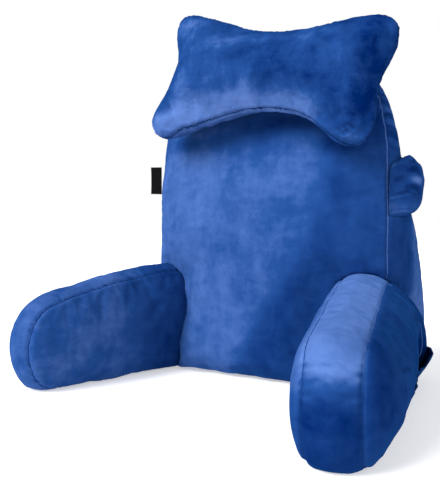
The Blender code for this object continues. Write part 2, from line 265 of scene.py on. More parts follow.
def nearest_on_line(points, line, closed):
    """For each point the step along a line of points, its nearest place on it and that distance."""
    following = np.roll(line, -1, axis=0) if closed else line[1:]
    start = line if closed else line[:-1]
    span = following - start
    length = np.linalg.norm(span, axis=1)
    along = np.concatenate([[0.0], np.cumsum(length)])[:-1]
    best = np.full(len(points), np.inf)
    place = np.zeros_like(points)
    step = np.zeros(len(points))
    for k in range(len(start)):
        rel = points - start[k]
        share = np.clip(rel @ span[k] / (length[k] ** 2 + 1e-12), 0.0, 1.0)
        spot = start[k] + share[:, None] * span[k]
        gap = ((points - spot) ** 2).sum(axis=1)
        nearer = gap < best
        best[nearer] = gap[nearer]
        place[nearer] = spot[nearer]
        step[nearer] = along[k] + share[nearer] * length[k]
    return step, place, np.sqrt(best)


def tree_of(piece):
    """A search tree of the piece's faces."""
    mesh = piece.data
    corners = np.empty(len(mesh.loops), dtype=np.int32)
    mesh.loops.foreach_get("vertex_index", corners)
    starts = np.empty(len(mesh.polygons), dtype=np.int32)
    mesh.polygons.foreach_get("loop_start", starts)
    faces = [list(face) for face in np.split(corners, starts[1:])]
    return BVHTree.FromPolygons(coordinates(mesh).tolist(), faces)


def press_on(piece, trees, reach=0.011, gap=0.0004):
    """Draws the piece's surface against its neighbours where it runs close, and out of them."""
    points = coordinates(piece.data)
    for tree, low, high in trees:
        near = np.nonzero(((points > low - reach) & (points < high + reach)).all(axis=1))[0]
        for index in near:
            spot, facing, _, far = tree.find_nearest(Vector(points[index]), 0.03)
            if spot is None:
                continue
            inside = (Vector(points[index]) - spot).dot(facing) < 0.0
            share = 1.0 if inside else 1.0 - eased_step(far, 0.004, reach)
            if share > 0.0:
                points[index] += share * (np.array(spot + facing * gap) - points[index])
    set_coordinates(piece.data, points)


def on_surface(tree, line, sink=0.0):
    """A line of points brought onto a piece's surface, and sunk a little below it."""
    placed = []
    for point in line:
        spot, facing, _, _ = tree.find_nearest(Vector(point))
        placed.append(spot - facing * sink)
    return np.array(placed)


def undulate(piece, height, wavelength, seed):
    """Soft, uneven swells of the filling."""
    rng = np.random.default_rng(seed)
    points = coordinates(piece.data)
    facing = normals(piece.data)
    lift = np.zeros(len(points))
    for _ in range(9):
        way = rng.normal(size=3)
        way /= np.linalg.norm(way)
        turn = FULL_TURN / (wavelength * rng.uniform(0.6, 1.7))
        bend = 0.8 * np.sin(points @ rng.normal(size=3) * 14.0 + rng.uniform(0, LATEST_PHASE))
        lift += np.sin(points @ way * turn + rng.uniform(0, LATEST_PHASE) + bend)
    lift *= height / 3.0
    points += lift[:, None] * facing
    points[:, 2] = np.maximum(points[:, 2], LOWEST)
    set_coordinates(piece.data, points)


def set_nap_and_painted_light(piece, tone):
    """Tone of each vertex from -1 to 1, kept for the material: the brushed pile's nap with painted shade
    and painted highlights.
    """
    layer = piece.data.attributes.get("nap_and_painted_light") or piece.data.attributes.new("nap_and_painted_light", "FLOAT", "POINT")
    layer.data.foreach_set("value", np.clip(tone, -1.0, 1.0).astype(np.float32))


def eased_step(values, start, end):
    """0 before start, 1 past end, with soft turns."""
    share = np.clip((values - start) / (end - start), 0.0, 1.0)
    return share * share * (3.0 - 2.0 * share)


def bump_at(values, centre, width):
    """1 at the centre, fading to 0 either side."""
    return np.exp(-(((values - centre) / width) ** 2))


def tube(name, line, closed, radius, look, tone):
    """A fine rolled seam edge along a line."""
    count = len(line)
    ahead = np.roll(line, -1, axis=0) - np.roll(line, 1, axis=0)
    if not closed:
        ahead[0], ahead[-1] = line[1] - line[0], line[-1] - line[-2]
    ahead /= np.linalg.norm(ahead, axis=1)[:, None] + 1e-12
    side = np.cross(ahead, [0.13, 0.37, 0.92])
    side /= np.linalg.norm(side, axis=1)[:, None]
    over = np.cross(ahead, side)
    sides = 8
    swell = np.full(count, radius)
    if not closed:
        ends = np.minimum(np.arange(count), np.arange(count)[::-1])
        swell = radius * np.clip(0.25 + ends / 6.0, 0.0, 1.0)
    vertices = []
    for k in range(sides):
        angle = 2.0 * math.pi * k / sides
        vertices.append(line + (side * math.cos(angle) + over * math.sin(angle)) * swell[:, None])
    vertices = np.stack(vertices, axis=1).reshape(-1, 3)
    faces = []
    for row in range(count if closed else count - 1):
        for k in range(sides):
            a, b = row * sides + k, row * sides + (k + 1) % sides
            c, d = ((row + 1) % count) * sides + (k + 1) % sides, ((row + 1) % count) * sides + k
            faces.append((a, b, c, d))
    if not closed:
        faces.append(tuple(range(sides))[::-1])
        faces.append(tuple((count - 1) * sides + k for k in range(sides)))
    mesh = bpy.data.meshes.new(name)
    mesh.from_pydata([tuple(v) for v in vertices], [], faces)
    mesh.shade_smooth()
    piece = bpy.data.objects.new(name, mesh)
    bpy.context.scene.collection.objects.link(piece)
    mesh.materials.append(look)
    set_nap_and_painted_light(piece, np.full(len(vertices), tone))
    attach(piece, "root")
    return piece


def waver(step, seed, wavelength):
    """An uneven wave from 0 to 1 along a seam."""
    rng = np.random.default_rng(seed)
    total = np.zeros_like(step)
    weight = 0.0
    for share in (0.62, 0.85, 1.1, 1.6, 2.3):
        strength = 1.0 / share
        drift = 0.35 * np.sin(step * 9.0 * share + rng.uniform(0, LATEST_PHASE))
        phase = rng.uniform(0, LATEST_PHASE)
        total += strength * np.sin(FULL_TURN * step / (wavelength * share) + phase + drift)
        weight += strength
    return np.clip(0.5 + 0.9 * total / weight, 0.0, 1.0)


def soften(piece, passes):
    """Puts smoothing on the piece, to be applied with its other modifiers."""
    smoothing = piece.modifiers.new("soften", "SMOOTH")
    smoothing.factor = 0.5
    smoothing.iterations = passes


def remeshed(node, name, voxel, shrink, passes=4):
    """A new piece of even quads in the shape of a CAD node, a little smaller and softened."""
    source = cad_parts[node]
    mesh = source.data.copy()
    mesh.materials.clear()
    piece = bpy.data.objects.new(name, mesh)
    bpy.context.scene.collection.objects.link(piece)
    work = bmesh.new()
    work.from_mesh(mesh)
    bmesh.ops.remove_doubles(work, verts=work.verts, dist=1e-5)
    work.to_mesh(mesh)
    work.free()
    for layer in list(mesh.uv_layers):
        mesh.uv_layers.remove(layer)
    remesh = piece.modifiers.new("even", "REMESH")
    remesh.mode = "VOXEL"
    remesh.voxel_size = voxel
    soften(piece, passes)
    apply_all(piece)
    set_coordinates(piece.data, coordinates(piece.data) - shrink * normals(piece.data))
    return piece


def apply_all(piece):
    """The piece's modifiers made into its mesh."""
    bpy.context.view_layer.update()
    graph = bpy.context.evaluated_depsgraph_get()
    made = bpy.data.meshes.new_from_object(piece.evaluated_get(graph))
    piece.modifiers.clear()
    piece.data = made
    made.name = piece.name


def stuff(piece, held, cap, slack, pressure=4.0, frames=20):
    """Blows the piece up as cloth, with its held vertices kept in place and each move capped."""
    before = coordinates(piece.data)
    group = piece.vertex_groups.new(name="held")
    for weight in (1.0, 0.5):
        chosen = np.nonzero(np.isclose(held, weight))[0]
        if len(chosen):
            group.add([int(k) for k in chosen], weight, "REPLACE")
    cloth = piece.modifiers.new("stuffing", "CLOTH")
    rules = cloth.settings
    rules.quality = 5
    rules.mass = 0.3
    rules.tension_stiffness = 15.0
    rules.compression_stiffness = 15.0
    rules.shear_stiffness = 5.0
    rules.bending_stiffness = 0.3
    rules.use_pressure = True
    rules.uniform_pressure_force = pressure
    rules.shrink_min = -slack
    rules.effector_weights.gravity = 0.0
    rules.vertex_group_mass = "held"
    cloth.collision_settings.use_collision = False
    cloth.point_cache.frame_start = 1
    cloth.point_cache.frame_end = frames
    scene = bpy.context.scene
    for step in range(1, frames + 1):
        scene.frame_set(step)
    graph = bpy.context.evaluated_depsgraph_get()
    made = bpy.data.meshes.new_from_object(piece.evaluated_get(graph))
    move = coordinates(made) - before
    far = np.linalg.norm(move, axis=1)
    move *= np.minimum(1.0, cap / np.maximum(far, 1e-9))[:, None]
    piece.modifiers.clear()
    piece.vertex_groups.clear()
    bpy.data.meshes.remove(made)
    scene.frame_set(1)
    after = before + move
    after[:, 2] = np.maximum(after[:, 2], LOWEST)
    set_coordinates(piece.data, after)
    soften(piece, 2)
    apply_all(piece)


def refine(piece):
    """One subdivision, and smooth shading."""
    divide = piece.modifiers.new("refine", "SUBSURF")
    divide.levels = 1
    divide.render_levels = 1
    apply_all(piece)
    piece.data.shade_smooth()


def around_line(points, facing, line, closed, margin):
    """The points near a line: which they are, their step along it, and how far from it they lie,
    in space and across the surface."""
    low, high = line.min(axis=0) - margin, line.max(axis=0) + margin
    near = np.nonzero(((points > low) & (points < high)).all(axis=1))[0]
    step, place, gap = nearest_on_line(points[near], line, closed)
    away = points[near] - place
    across = away - (away * facing[near]).sum(axis=1)[:, None] * facing[near]
    return near, step, gap, np.linalg.norm(across, axis=1)


def sew(piece, line, closed, groove=0.0016, lip=0.0005, pucker=0.0, wavelength=0.016,
        reach=0.011, seed=1, width=0.0026):
    """Presses a seam into a piece: a narrow groove, a soft lip either side and gathers across."""
    points = coordinates(piece.data)
    facing = normals(piece.data)
    near, step, gap, wide = around_line(points, facing, line, closed, 0.04)
    gap = np.where(gap < 0.03, wide, gap)
    lift = -groove * np.exp(-((gap / width) ** 2))
    lift += lip * np.exp(-(((gap - 2.6 * width) / (1.7 * width)) ** 2))
    if pucker:
        wave = waver(step, seed, wavelength) * eased_step(waver(step, seed + 50, 0.11), 0.15, 0.75)
        fade = np.exp(-((gap / reach) ** 1.6))
        lift += -pucker * fade * wave
    points[near] += lift[:, None] * facing[near]
    points[:, 2] = np.maximum(points[:, 2], LOWEST)
    set_coordinates(piece.data, points)


def crease(piece, line, depth, width, ridge=0.5):
    """A soft fold: a valley along a short line with a ridge beside it."""
    points = coordinates(piece.data)
    facing = normals(piece.data)
    reach = 4.0 * width
    near, step, gap, wide = around_line(points, facing, line, False, reach)
    length = np.linalg.norm(np.diff(line, axis=0), axis=1).sum()
    ends = np.clip(np.minimum(step, length - step) / (0.35 * length), 0.0, 1.0)
    ends = ends * ends * (3.0 - 2.0 * ends)
    lift = -depth * np.exp(-((wide / width) ** 2))
    lift += ridge * depth * np.exp(-(((wide - 1.9 * width) / width) ** 2))
    points[near] += (lift * ends * (gap < reach))[:, None] * facing[near]
    set_coordinates(piece.data, points)


def plush_material(name, stops, seed, contrast):
    """Short-pile plush: brushed streaks of nap over each vertex's tone, which holds painted shade and
    painted highlights, and a fine pile.
    """
    made = bpy.data.materials.new(name)
    made.use_nodes = True
    nodes = made.node_tree.nodes
    link = made.node_tree.links.new
    shader = nodes["Principled BSDF"]
    place = nodes.new("ShaderNodeTexCoord")

    def mapped(turn, stretch):
        """The piece's coordinates, turned and stretched for one noise."""
        shift = nodes.new("ShaderNodeMapping")
        shift.inputs["Location"].default_value = (seed * 0.37, seed * 0.21, seed * 0.11)
        shift.inputs["Rotation"].default_value = turn
        shift.inputs["Scale"].default_value = stretch
        link(place.outputs["Object"], shift.inputs["Vector"])
        return shift.outputs["Vector"]

    def noise(scale, detail, rough, distortion, vector):
        """The value of a noise texture."""
        node = nodes.new("ShaderNodeTexNoise")
        node.inputs["Scale"].default_value = scale
        node.inputs["Detail"].default_value = detail
        node.inputs["Roughness"].default_value = rough
        node.inputs["Distortion"].default_value = distortion
        link(vector, node.inputs["Vector"])
        return node.outputs["Fac"]

    def combine(kind, a, b):
        """The result of a math node on two sockets or numbers."""
        node = nodes.new("ShaderNodeMath")
        node.operation = kind
        for socket, value in zip(node.inputs, (a, b)):
            if isinstance(value, float):
                socket.default_value = value
            else:
                link(value, socket)
        return node.outputs[0]

    patches = noise(9.0, 3.0, 0.55, 0.35, mapped((0.2, 0.4, 0.3), (1.0, 1.0, 0.8)))
    streaks = noise(46.0, 6.0, 0.66, 0.25, mapped((0.0, 0.85, 0.1), (1.0, 1.0, 0.55)))
    crossed = noise(70.0, 4.0, 0.60, 0.20, mapped((0.1, -0.5, 0.4), (0.45, 0.6, 1.0)))
    pile = noise(820.0, 2.0, 0.5, 0.0, place.outputs["Object"])
    # The vertex tone: painted shade and painted highlights as well as the pile's nap.
    tone = nodes.new("ShaderNodeAttribute")
    tone.attribute_name = "nap_and_painted_light"
    mottle = combine("ADD", combine("MULTIPLY", patches, 0.62), combine("MULTIPLY", streaks, 0.34))
    mottle = combine("ADD", mottle, combine("MULTIPLY", crossed, 0.26))
    mottle = combine("ADD", mottle, combine("MULTIPLY", pile, 0.16))
    mottle = combine("SUBTRACT", mottle, 0.690)
    nap_and_painted_light = combine("ADD", combine("MULTIPLY", tone.outputs["Fac"], 0.42), 0.5)
    nap_and_painted_light = combine("ADD", nap_and_painted_light, combine("MULTIPLY", mottle, contrast))
    ramp = nodes.new("ShaderNodeValToRGB")
    ramp.color_ramp.elements[0].position = 0.0
    ramp.color_ramp.elements[0].color = (*stops[0], 1.0)
    ramp.color_ramp.elements[1].position = 1.0
    ramp.color_ramp.elements[1].color = (*stops[2], 1.0)
    centre = ramp.color_ramp.elements.new(0.5)
    centre.color = (*stops[1], 1.0)
    link(nap_and_painted_light, ramp.inputs["Fac"])
    link(ramp.outputs["Color"], shader.inputs["Base Color"])
    shader.inputs["Roughness"].default_value = 0.85
    shader.inputs["Specular IOR Level"].default_value = 0.0
    shader.inputs["Sheen Weight"].default_value = 0.08
    shader.inputs["Sheen Roughness"].default_value = 0.34
    shader.inputs["Sheen Tint"].default_value = (0.02, 0.32, 1.0, 1.0)
    brushed = nodes.new("ShaderNodeBump")
    brushed.inputs["Strength"].default_value = 0.4
    brushed.inputs["Distance"].default_value = 0.0016
    link(combine("ADD", streaks, crossed), brushed.inputs["Height"])
    fuzz = nodes.new("ShaderNodeBump")
    fuzz.inputs["Strength"].default_value = 0.4
    fuzz.inputs["Distance"].default_value = 0.0005
    link(pile, fuzz.inputs["Height"])
    link(brushed.outputs["Normal"], fuzz.inputs["Normal"])
    link(fuzz.outputs["Normal"], shader.inputs["Normal"])
    return made


def tape_material():
    """Black woven tape with a fine rib."""
    made = bpy.data.materials.new("black_tape_woven")
    made.use_nodes = True
    nodes = made.node_tree.nodes
    link = made.node_tree.links.new
    shader = nodes["Principled BSDF"]
    place = nodes.new("ShaderNodeTexCoord")
    rib = nodes.new("ShaderNodeTexWave")
    rib.wave_type = "BANDS"
    rib.bands_direction = "Z"
    rib.inputs["Scale"].default_value = 520.0
    rib.inputs["Distortion"].default_value = 0.6
    link(place.outputs["Object"], rib.inputs["Vector"])
    ramp = nodes.new("ShaderNodeValToRGB")
    ramp.color_ramp.elements[0].color = (0.0006, 0.0006, 0.0008, 1.0)
    ramp.color_ramp.elements[1].color = (0.0030, 0.0030, 0.0036, 1.0)
    link(rib.outputs["Fac"], ramp.inputs["Fac"])
    link(ramp.outputs["Color"], shader.inputs["Base Color"])
    shader.inputs["Roughness"].default_value = 0.62
    shader.inputs["Specular IOR Level"].default_value = 0.03
    bump = nodes.new("ShaderNodeBump")
    bump.inputs["Strength"].default_value = 0.5
    bump.inputs["Distance"].default_value = 0.0003
    link(rib.outputs["Fac"], bump.inputs["Height"])
    link(bump.outputs["Normal"], shader.inputs["Normal"])
    return made


def build_camera():
    """The camera, at the photograph's viewing angle."""
    camera = bpy.data.objects.new("camera", bpy.data.cameras.new("camera"))
    bpy.context.scene.collection.objects.link(camera)
    away = Vector((
        math.sin(AZIMUTH) * math.cos(ELEVATION),
        -math.cos(AZIMUTH) * math.cos(ELEVATION),
        math.sin(ELEVATION),
    ))
    camera.location = TARGET + away * DISTANCE
    camera.rotation_mode = "QUATERNION"
    camera.rotation_quaternion = (-away).to_track_quat("-Z", "Y")
    camera.data.lens = LENS
    camera.data.sensor_width = 36.0
    bpy.context.scene.camera = camera


def build_studio():
    """A pale floor, a pale sky and soft lamps: the key from the upper left front."""
    scene = bpy.context.scene
    scene.view_settings.view_transform = "Standard"
    world = bpy.data.worlds.new("studio")
    world.use_nodes = True
    nodes = world.node_tree.nodes
    link = world.node_tree.links.new
    backdrop = nodes["Background"]
    backdrop.inputs["Color"].default_value = (1.0, 1.0, 1.0, 1.0)
    backdrop.inputs["Strength"].default_value = 1.0
    ambient = nodes.new("ShaderNodeBackground")
    ambient.inputs["Color"].default_value = (0.93, 0.96, 1.0, 1.0)
    ambient.inputs["Strength"].default_value = AMBIENT
    rays = nodes.new("ShaderNodeLightPath")
    mix = nodes.new("ShaderNodeMixShader")
    link(rays.outputs["Is Camera Ray"], mix.inputs["Fac"])
    link(ambient.outputs["Background"], mix.inputs[1])
    link(backdrop.outputs["Background"], mix.inputs[2])
    link(mix.outputs["Shader"], nodes["World Output"].inputs["Surface"])
    scene.world = world
    mesh = bpy.data.meshes.new("floor")
    size = FLOOR_HALF
    mesh.from_pydata(
        [(-size, -size, 0.0), (size, -size, 0.0), (size, size, 0.0), (-size, size, 0.0)],
        [],
        [(0, 1, 2, 3)],
    )
    floor = bpy.data.objects.new("floor", mesh)
    floor.location.z = -FLOOR_DROP
    scene.collection.objects.link(floor)
    pale = bpy.data.materials.new("pale_floor")
    pale.use_nodes = True
    shader = pale.node_tree.nodes["Principled BSDF"]
    shader.inputs["Base Color"].default_value = FLOOR_COLOUR
    shader.inputs["Emission Color"].default_value = (1.0, 1.0, 1.0, 1.0)
    shader.inputs["Emission Strength"].default_value = FLOOR_GLOW
    shader.inputs["Roughness"].default_value = 0.9
    shader.inputs["Specular IOR Level"].default_value = 0.1
    mesh.materials.append(pale)
    for name, towards, strength, softness in SUNS:
        lamp = bpy.data.lights.new(name, "SUN")
        lamp.energy = strength
        lamp.angle = math.radians(softness)
        holder = bpy.data.objects.new(name, lamp)
        holder.rotation_mode = "QUATERNION"
        holder.rotation_quaternion = (-Vector(towards)).to_track_quat("-Z", "Y")
        holder.location = Vector(towards) * 2.0
        scene.collection.objects.link(holder)


def dress(piece, look, node):
    """Gives a piece its material and its body, and hides the CAD node it stands for."""
    piece.data.materials.clear()
    piece.data.materials.append(look)
    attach(piece, "root")
    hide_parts(node)


def new_piece(name, vertices, faces):
    """A new smooth piece with all its faces turned outwards."""
    mesh = bpy.data.meshes.new(name)
    mesh.from_pydata([tuple(vertex) for vertex in vertices], [], faces)
    work = bmesh.new()
    work.from_mesh(mesh)
    bmesh.ops.recalc_face_normals(work, faces=work.faces)
    work.to_mesh(mesh)
    work.free()
    mesh.shade_smooth()
    piece = bpy.data.objects.new(name, mesh)
    bpy.context.scene.collection.objects.link(piece)
    return piece


def held_near(piece, lines, near):
    """Hold weights: 1 within a distance of any seam line, 0 elsewhere."""
    points = coordinates(piece.data)
    held = np.zeros(len(points))
    for line in lines:
        _, _, gap = nearest_on_line(points, line, True)
        held[gap < near] = 1.0
    return held


# Creases of the head pillow: start and end in its own plane (right, up), depth, width.
HEAD_CREASES = [
    (0.186, -0.098, 0.158, -0.083, 0.0030, 0.0030),
    (0.176, -0.104, 0.151, -0.086, 0.0030, 0.0028),
    (0.166, -0.107, 0.144, -0.091, 0.0026, 0.0028),
    (0.010, 0.066, 0.021, 0.026, 0.0016, 0.0060),
    (0.118, 0.050, 0.152, -0.012, 0.0022, 0.0080),
    (0.190, 0.066, 0.140, 0.030, 0.0016, 0.0070),
    (-0.156, 0.098, -0.108, 0.052, 0.0018, 0.0080),
    (-0.128, 0.102, -0.080, 0.070, 0.0014, 0.0060),
    (-0.180, -0.078, -0.120, -0.052, 0.0016, 0.0065),
    (-0.150, 0.020, -0.110, 0.004, 0.0012, 0.0070),
]
# Painted light and shade on the head pillow, as patches: centre and reach in its own plane (right, up),
# tone.
HEAD_LIGHT_AND_SHADE = [
    (-0.120, 0.080, 0.042, 0.024, 0.95),
    (0.030, 0.050, 0.090, 0.010, 0.45),
    (0.135, 0.020, 0.026, 0.028, 0.55),
    (0.206, 0.045, 0.036, 0.042, -1.10),
    (0.186, -0.045, 0.020, 0.045, -0.50),
    (0.070, 0.005, 0.030, 0.026, -0.25),
    (-0.050, 0.024, 0.050, 0.018, -0.30),
    (-0.112, 0.000, 0.018, 0.050, 0.35),
    (-0.150, -0.072, 0.040, 0.026, 0.55),
    (0.062, -0.044, 0.060, 0.021, 0.90),
    (0.164, -0.096, 0.026, 0.016, 0.85),
]
# Painted shadow of the head pillow on the back cushion's front: centre and reach as (x, height), tone.
HEAD_SHADOW_ON_BACK = [
    (0.062, 0.413, 0.075, 0.017, -0.95),
    (-0.136, 0.394, 0.040, 0.012, -0.50),
    (0.139, 0.376, 0.032, 0.018, -0.60),
]
# Creases of the arms: side, start and end as (along, height), offset, depth, width.
ARM_CREASES = [
    (1, 0.030, 0.142, 0.088, 0.112, 0.070, 0.0018, 0.0045),
    (1, 0.014, 0.122, 0.078, 0.090, 0.075, 0.0018, 0.0045),
    (1, 0.006, 0.102, 0.066, 0.072, 0.075, 0.0014, 0.0040),
    (1, 0.250, 0.096, 0.254, 0.016, 0.066, 0.0036, 0.0040),
    (1, 0.256, 0.100, 0.196, 0.090, 0.070, 0.0026, 0.0034),
    (1, 0.226, 0.082, 0.222, 0.050, 0.070, 0.0016, 0.0030),
    (-1, 0.052, 0.130, 0.100, 0.085, -0.055, 0.0022, 0.0080),
    (-1, 0.050, 0.085, 0.110, 0.055, -0.055, 0.0020, 0.0080),
    (-1, 0.052, 0.040, 0.120, 0.028, -0.055, 0.0018, 0.0070),
]
# Groove and gathers of each arm's inner seam.
ARM_INNER_SEAM = {-1: (0.0022, 0.0013), 1: (0.0013, 0.0010)}
# Rear seam of the right arm's outer panel, where it meets the back cushion's side.
ARM_REAR_SEAM = [
    (0.222, -0.020, 0.174),
    (0.238, -0.024, 0.166),
    (0.248, -0.014, 0.151),
    (0.254, 0.008, 0.128),
    (0.256, 0.026, 0.104),
    (0.259, 0.022, 0.083),
    (0.266, -0.012, 0.068),
]


def arm_measure(side, points):
    """Distance along an arm, height and offset of points near it."""
    along = np.linspace(-0.20, 0.40, 1201)
    spots, outs = arm_path(side, along)
    chosen = np.zeros(len(points), dtype=int)
    for start in range(0, len(points), 4000):
        block = points[start:start + 4000, None, :2] - spots[None]
        chosen[start:start + 4000] = (block**2).sum(axis=2).argmin(axis=1)
    offset = ((points[:, :2] - spots[chosen]) * outs[chosen]).sum(axis=1)
    return along[chosen], points[:, 2], offset


def build_arm(side, node, look):
    """One arm bolster with its seams, folds, and tones that paint in its shade and highlights."""
    piece = remeshed(node, node + "_plush", ARM_VOXEL, SHRINK)
    profile = arm_profile(ARM_REACH[side], 300)
    half = 0.5 * ARM_BAND
    inner = arm_spot(side, profile, np.full(len(profile), -half))
    outer = arm_spot(side, profile, np.full(len(profile), half + 0.003))
    stuff(piece, held_near(piece, [inner, outer], 0.005), 0.007, 0.02)
    refine(piece)
    undulate(piece, 0.0009, 0.09, 40 + side)
    tree = tree_of(piece)
    inner = on_surface(tree, inner)
    outer = on_surface(tree, outer)
    groove, gather = ARM_INNER_SEAM[side]
    sew(piece, inner, True, groove=groove, pucker=gather, seed=3 + side)
    sew(piece, outer, True, groove=0.0014, pucker=0.0006, seed=13 + side)
    if side == 1:
        sew(piece, on_surface(tree, np.array(ARM_REAR_SEAM)), False, groove=0.0014, lip=0.0012)
    for row_side, a0, h0, a1, h1, offset, depth, width in ARM_CREASES:
        if row_side == side:
            flat = np.linspace([a0, h0], [a1, h1], 9)
            flat[:, 1] += 0.004 * np.sin(np.linspace(0.0, 3.14, 9))
            crease(piece, on_surface(tree, arm_spot(side, flat, np.full(9, offset))), depth, width)
    along, height, offset = arm_measure(side, coordinates(piece.data))
    facing = normals(piece.data)
    # Painted light and shade: the band lighter where it faces up and darker low on the nose, the outer
    # panel darker, the inner panel lighter higher up, a painted highlight on the outer panel by a low
    # fold, and on the left arm painted shade by the back.
    band = 1.0 - eased_step(np.abs(offset), 0.028, 0.036)
    top = eased_step(facing[:, 2], 0.05, 0.75)
    tone = np.full(len(along), -0.25)
    if side == 1:
        tone = tone + band * (0.12 + 1.50 * top) - 0.70 * band * (1.0 - eased_step(height, 0.055, 0.150))
        tone += 0.45 * band * bump_at(height, 0.116, 0.024) * eased_step(along, 0.22, 0.27)
        tone -= 0.40 * eased_step(offset, 0.033, 0.037)
        tone += 0.75 * (1.0 - eased_step(offset, -0.034, -0.030)) * eased_step(height, 0.045, 0.125)
        tone += 0.3 * bump_at(along, 0.222, 0.020) * bump_at(height, 0.050, 0.030) * (offset > 0.04)
    else:
        tone = tone + 0.50 + band * 0.20 * top
        tone = tone - 0.85 * (1.0 - eased_step(along, 0.04, 0.16)) * (offset < 0)
    set_nap_and_painted_light(piece, tone)
    dress(piece, look, node)
    tree = tree_of(piece)
    # Seam edges round each arm: the outer one carries a painted highlight and each turns to painted
    # shade low down; the left arm's inner seam is a dark joint.
    dark = 0.0 if side == 1 else -0.7
    for label, line, shade, sink in (("inner", inner, dark, 0.0003), ("outer", outer, 0.4, 0.0001)):
        placed = on_surface(tree, line, sink)
        edge = tube(node + "_seam_" + label, placed, True, SEAM_RADIUS, look, shade)
        high_up = eased_step(coordinates(edge.data)[:, 2], 0.075, 0.120)
        set_nap_and_painted_light(edge, -0.6 + (shade + 0.6) * high_up)
    if side == 1:
        # The rear seam's edge carries a painted highlight.
        rear = np.array(ARM_REAR_SEAM)
        share = np.linspace(0.0, len(rear) - 1.0, 60)
        rear = np.stack([np.interp(share, np.arange(len(rear)), rear[:, k]) for k in range(3)], axis=1)
        tube(node + "_seam_rear", on_surface(tree, rear, 0.0001), False, SEAM_RADIUS, look, 0.6)
    low, high = coordinates(piece.data).min(axis=0), coordinates(piece.data).max(axis=0)
    return piece, (tree, low, high)


# Heights from which the back cushion's front and rear seams show.
FRONT_SEAM_FROM = 0.172
REAR_SEAM_FROM = 0.014
# Heights of the gathers at the top of its right side, and of the two folds below the handle.
GATHER_HEIGHTS = (0.365, 0.380, 0.392, 0.404, 0.418, 0.431, 0.446)
SIDE_FOLD_HEIGHTS = (0.2590, 0.2655)
# Left edge of the painted shade over the right part of its front panel: heights, and x at each.
SHADE_EDGE = (
    [0.0, 0.10, 0.20, 0.29, 0.37, 0.5],
    [-0.05, 0.007, 0.078, 0.107, 0.108, 0.1],
)


def build_back(look, neighbours):
    """The back cushion, drawn against the arms, with its gathered side."""
    piece = remeshed("back_cushion", "back_cushion_plush", BACK_VOXEL, SHRINK)
    front, rear = back_seams()
    stuff(piece, held_near(piece, [front, rear], 0.007), 0.007, 0.015)
    refine(piece)
    undulate(piece, 0.0012, 0.12, 60)
    press_on(piece, neighbours)
    tree = tree_of(piece)
    front = on_surface(tree, front[front[:, 2] > FRONT_SEAM_FROM])
    rear = on_surface(tree, rear[rear[:, 2] > REAR_SEAM_FROM])
    sew(piece, front, False, pucker=0.0010, wavelength=0.022, seed=21)
    sew(piece, rear, False, pucker=0.0004, wavelength=0.020, seed=22)
    for number, height in enumerate(GATHER_HEIGHTS):
        start = np.array([0.216 - 0.22 * max(height - 0.36, 0.0), 0.014, height])
        end = start + [0.002, 0.017, 0.004 * (-1) ** number]
        crease(piece, on_surface(tree, np.linspace(start, end, 7)), 0.0018, 0.0030)
    for height in SIDE_FOLD_HEIGHTS:
        line = np.linspace([0.222, 0.012, height], [0.229, 0.072, height + 0.004], 9)
        crease(piece, on_surface(tree, line), 0.0018, 0.0022)
    # Painted light and shade: shade over the right part of the front, a painted shadow of the head
    # pillow near the top, the right side lighter and most at its top and lower rear, and stripes of
    # painted light and shade across its gathers; faces turned to the rear get one plain tone.
    points = coordinates(piece.data)
    turn = np.interp(points[:, 2], *SHADE_EDGE)
    shade = eased_step(points[:, 0], turn - 0.012, turn + 0.045)
    head_shadow = eased_step(points[:, 2], 0.35, 0.39)
    side = eased_step(points[:, 1], 0.012, 0.020) * eased_step(points[:, 0], 0.18, 0.20)
    collar = eased_step(points[:, 2], 0.37, 0.40) * side
    tone = 0.34 - 0.86 * shade - 0.32 * head_shadow + 0.10 * side + 0.45 * collar
    for x, z, wide, high, amount in HEAD_SHADOW_ON_BACK:
        tone += amount * bump_at(points[:, 0], x, wide) * bump_at(points[:, 2], z, high) * (1.0 - side)
    gather = eased_step(waver(points[:, 2] + 0.3 * points[:, 1], 71, 0.026), 0.2, 0.8) - 0.5
    near_seam = 1.0 - eased_step(points[:, 1], 0.03, 0.05)
    tone += 0.8 * gather * side * eased_step(points[:, 2], 0.355, 0.375) * near_seam
    rim = side * eased_step(points[:, 1], 0.055, 0.100) * (1.0 - eased_step(points[:, 2], 0.24, 0.28))
    tone += 0.95 * rim
    behind = eased_step(normals(piece.data)[:, 1], 0.35, 0.75)
    set_nap_and_painted_light(piece, tone + behind * (-0.25 - tone))
    dress(piece, look, "back_cushion")
    tree = tree_of(piece)
    # The front seam's edge carries a painted highlight.
    tube("back_seam_front", on_surface(tree, front, 0.0001), False, 0.0011, look, 0.6)
    tube("back_seam_rear", on_surface(tree, rear, 0.0002), False, 0.0009, look, 0.0)
    return piece


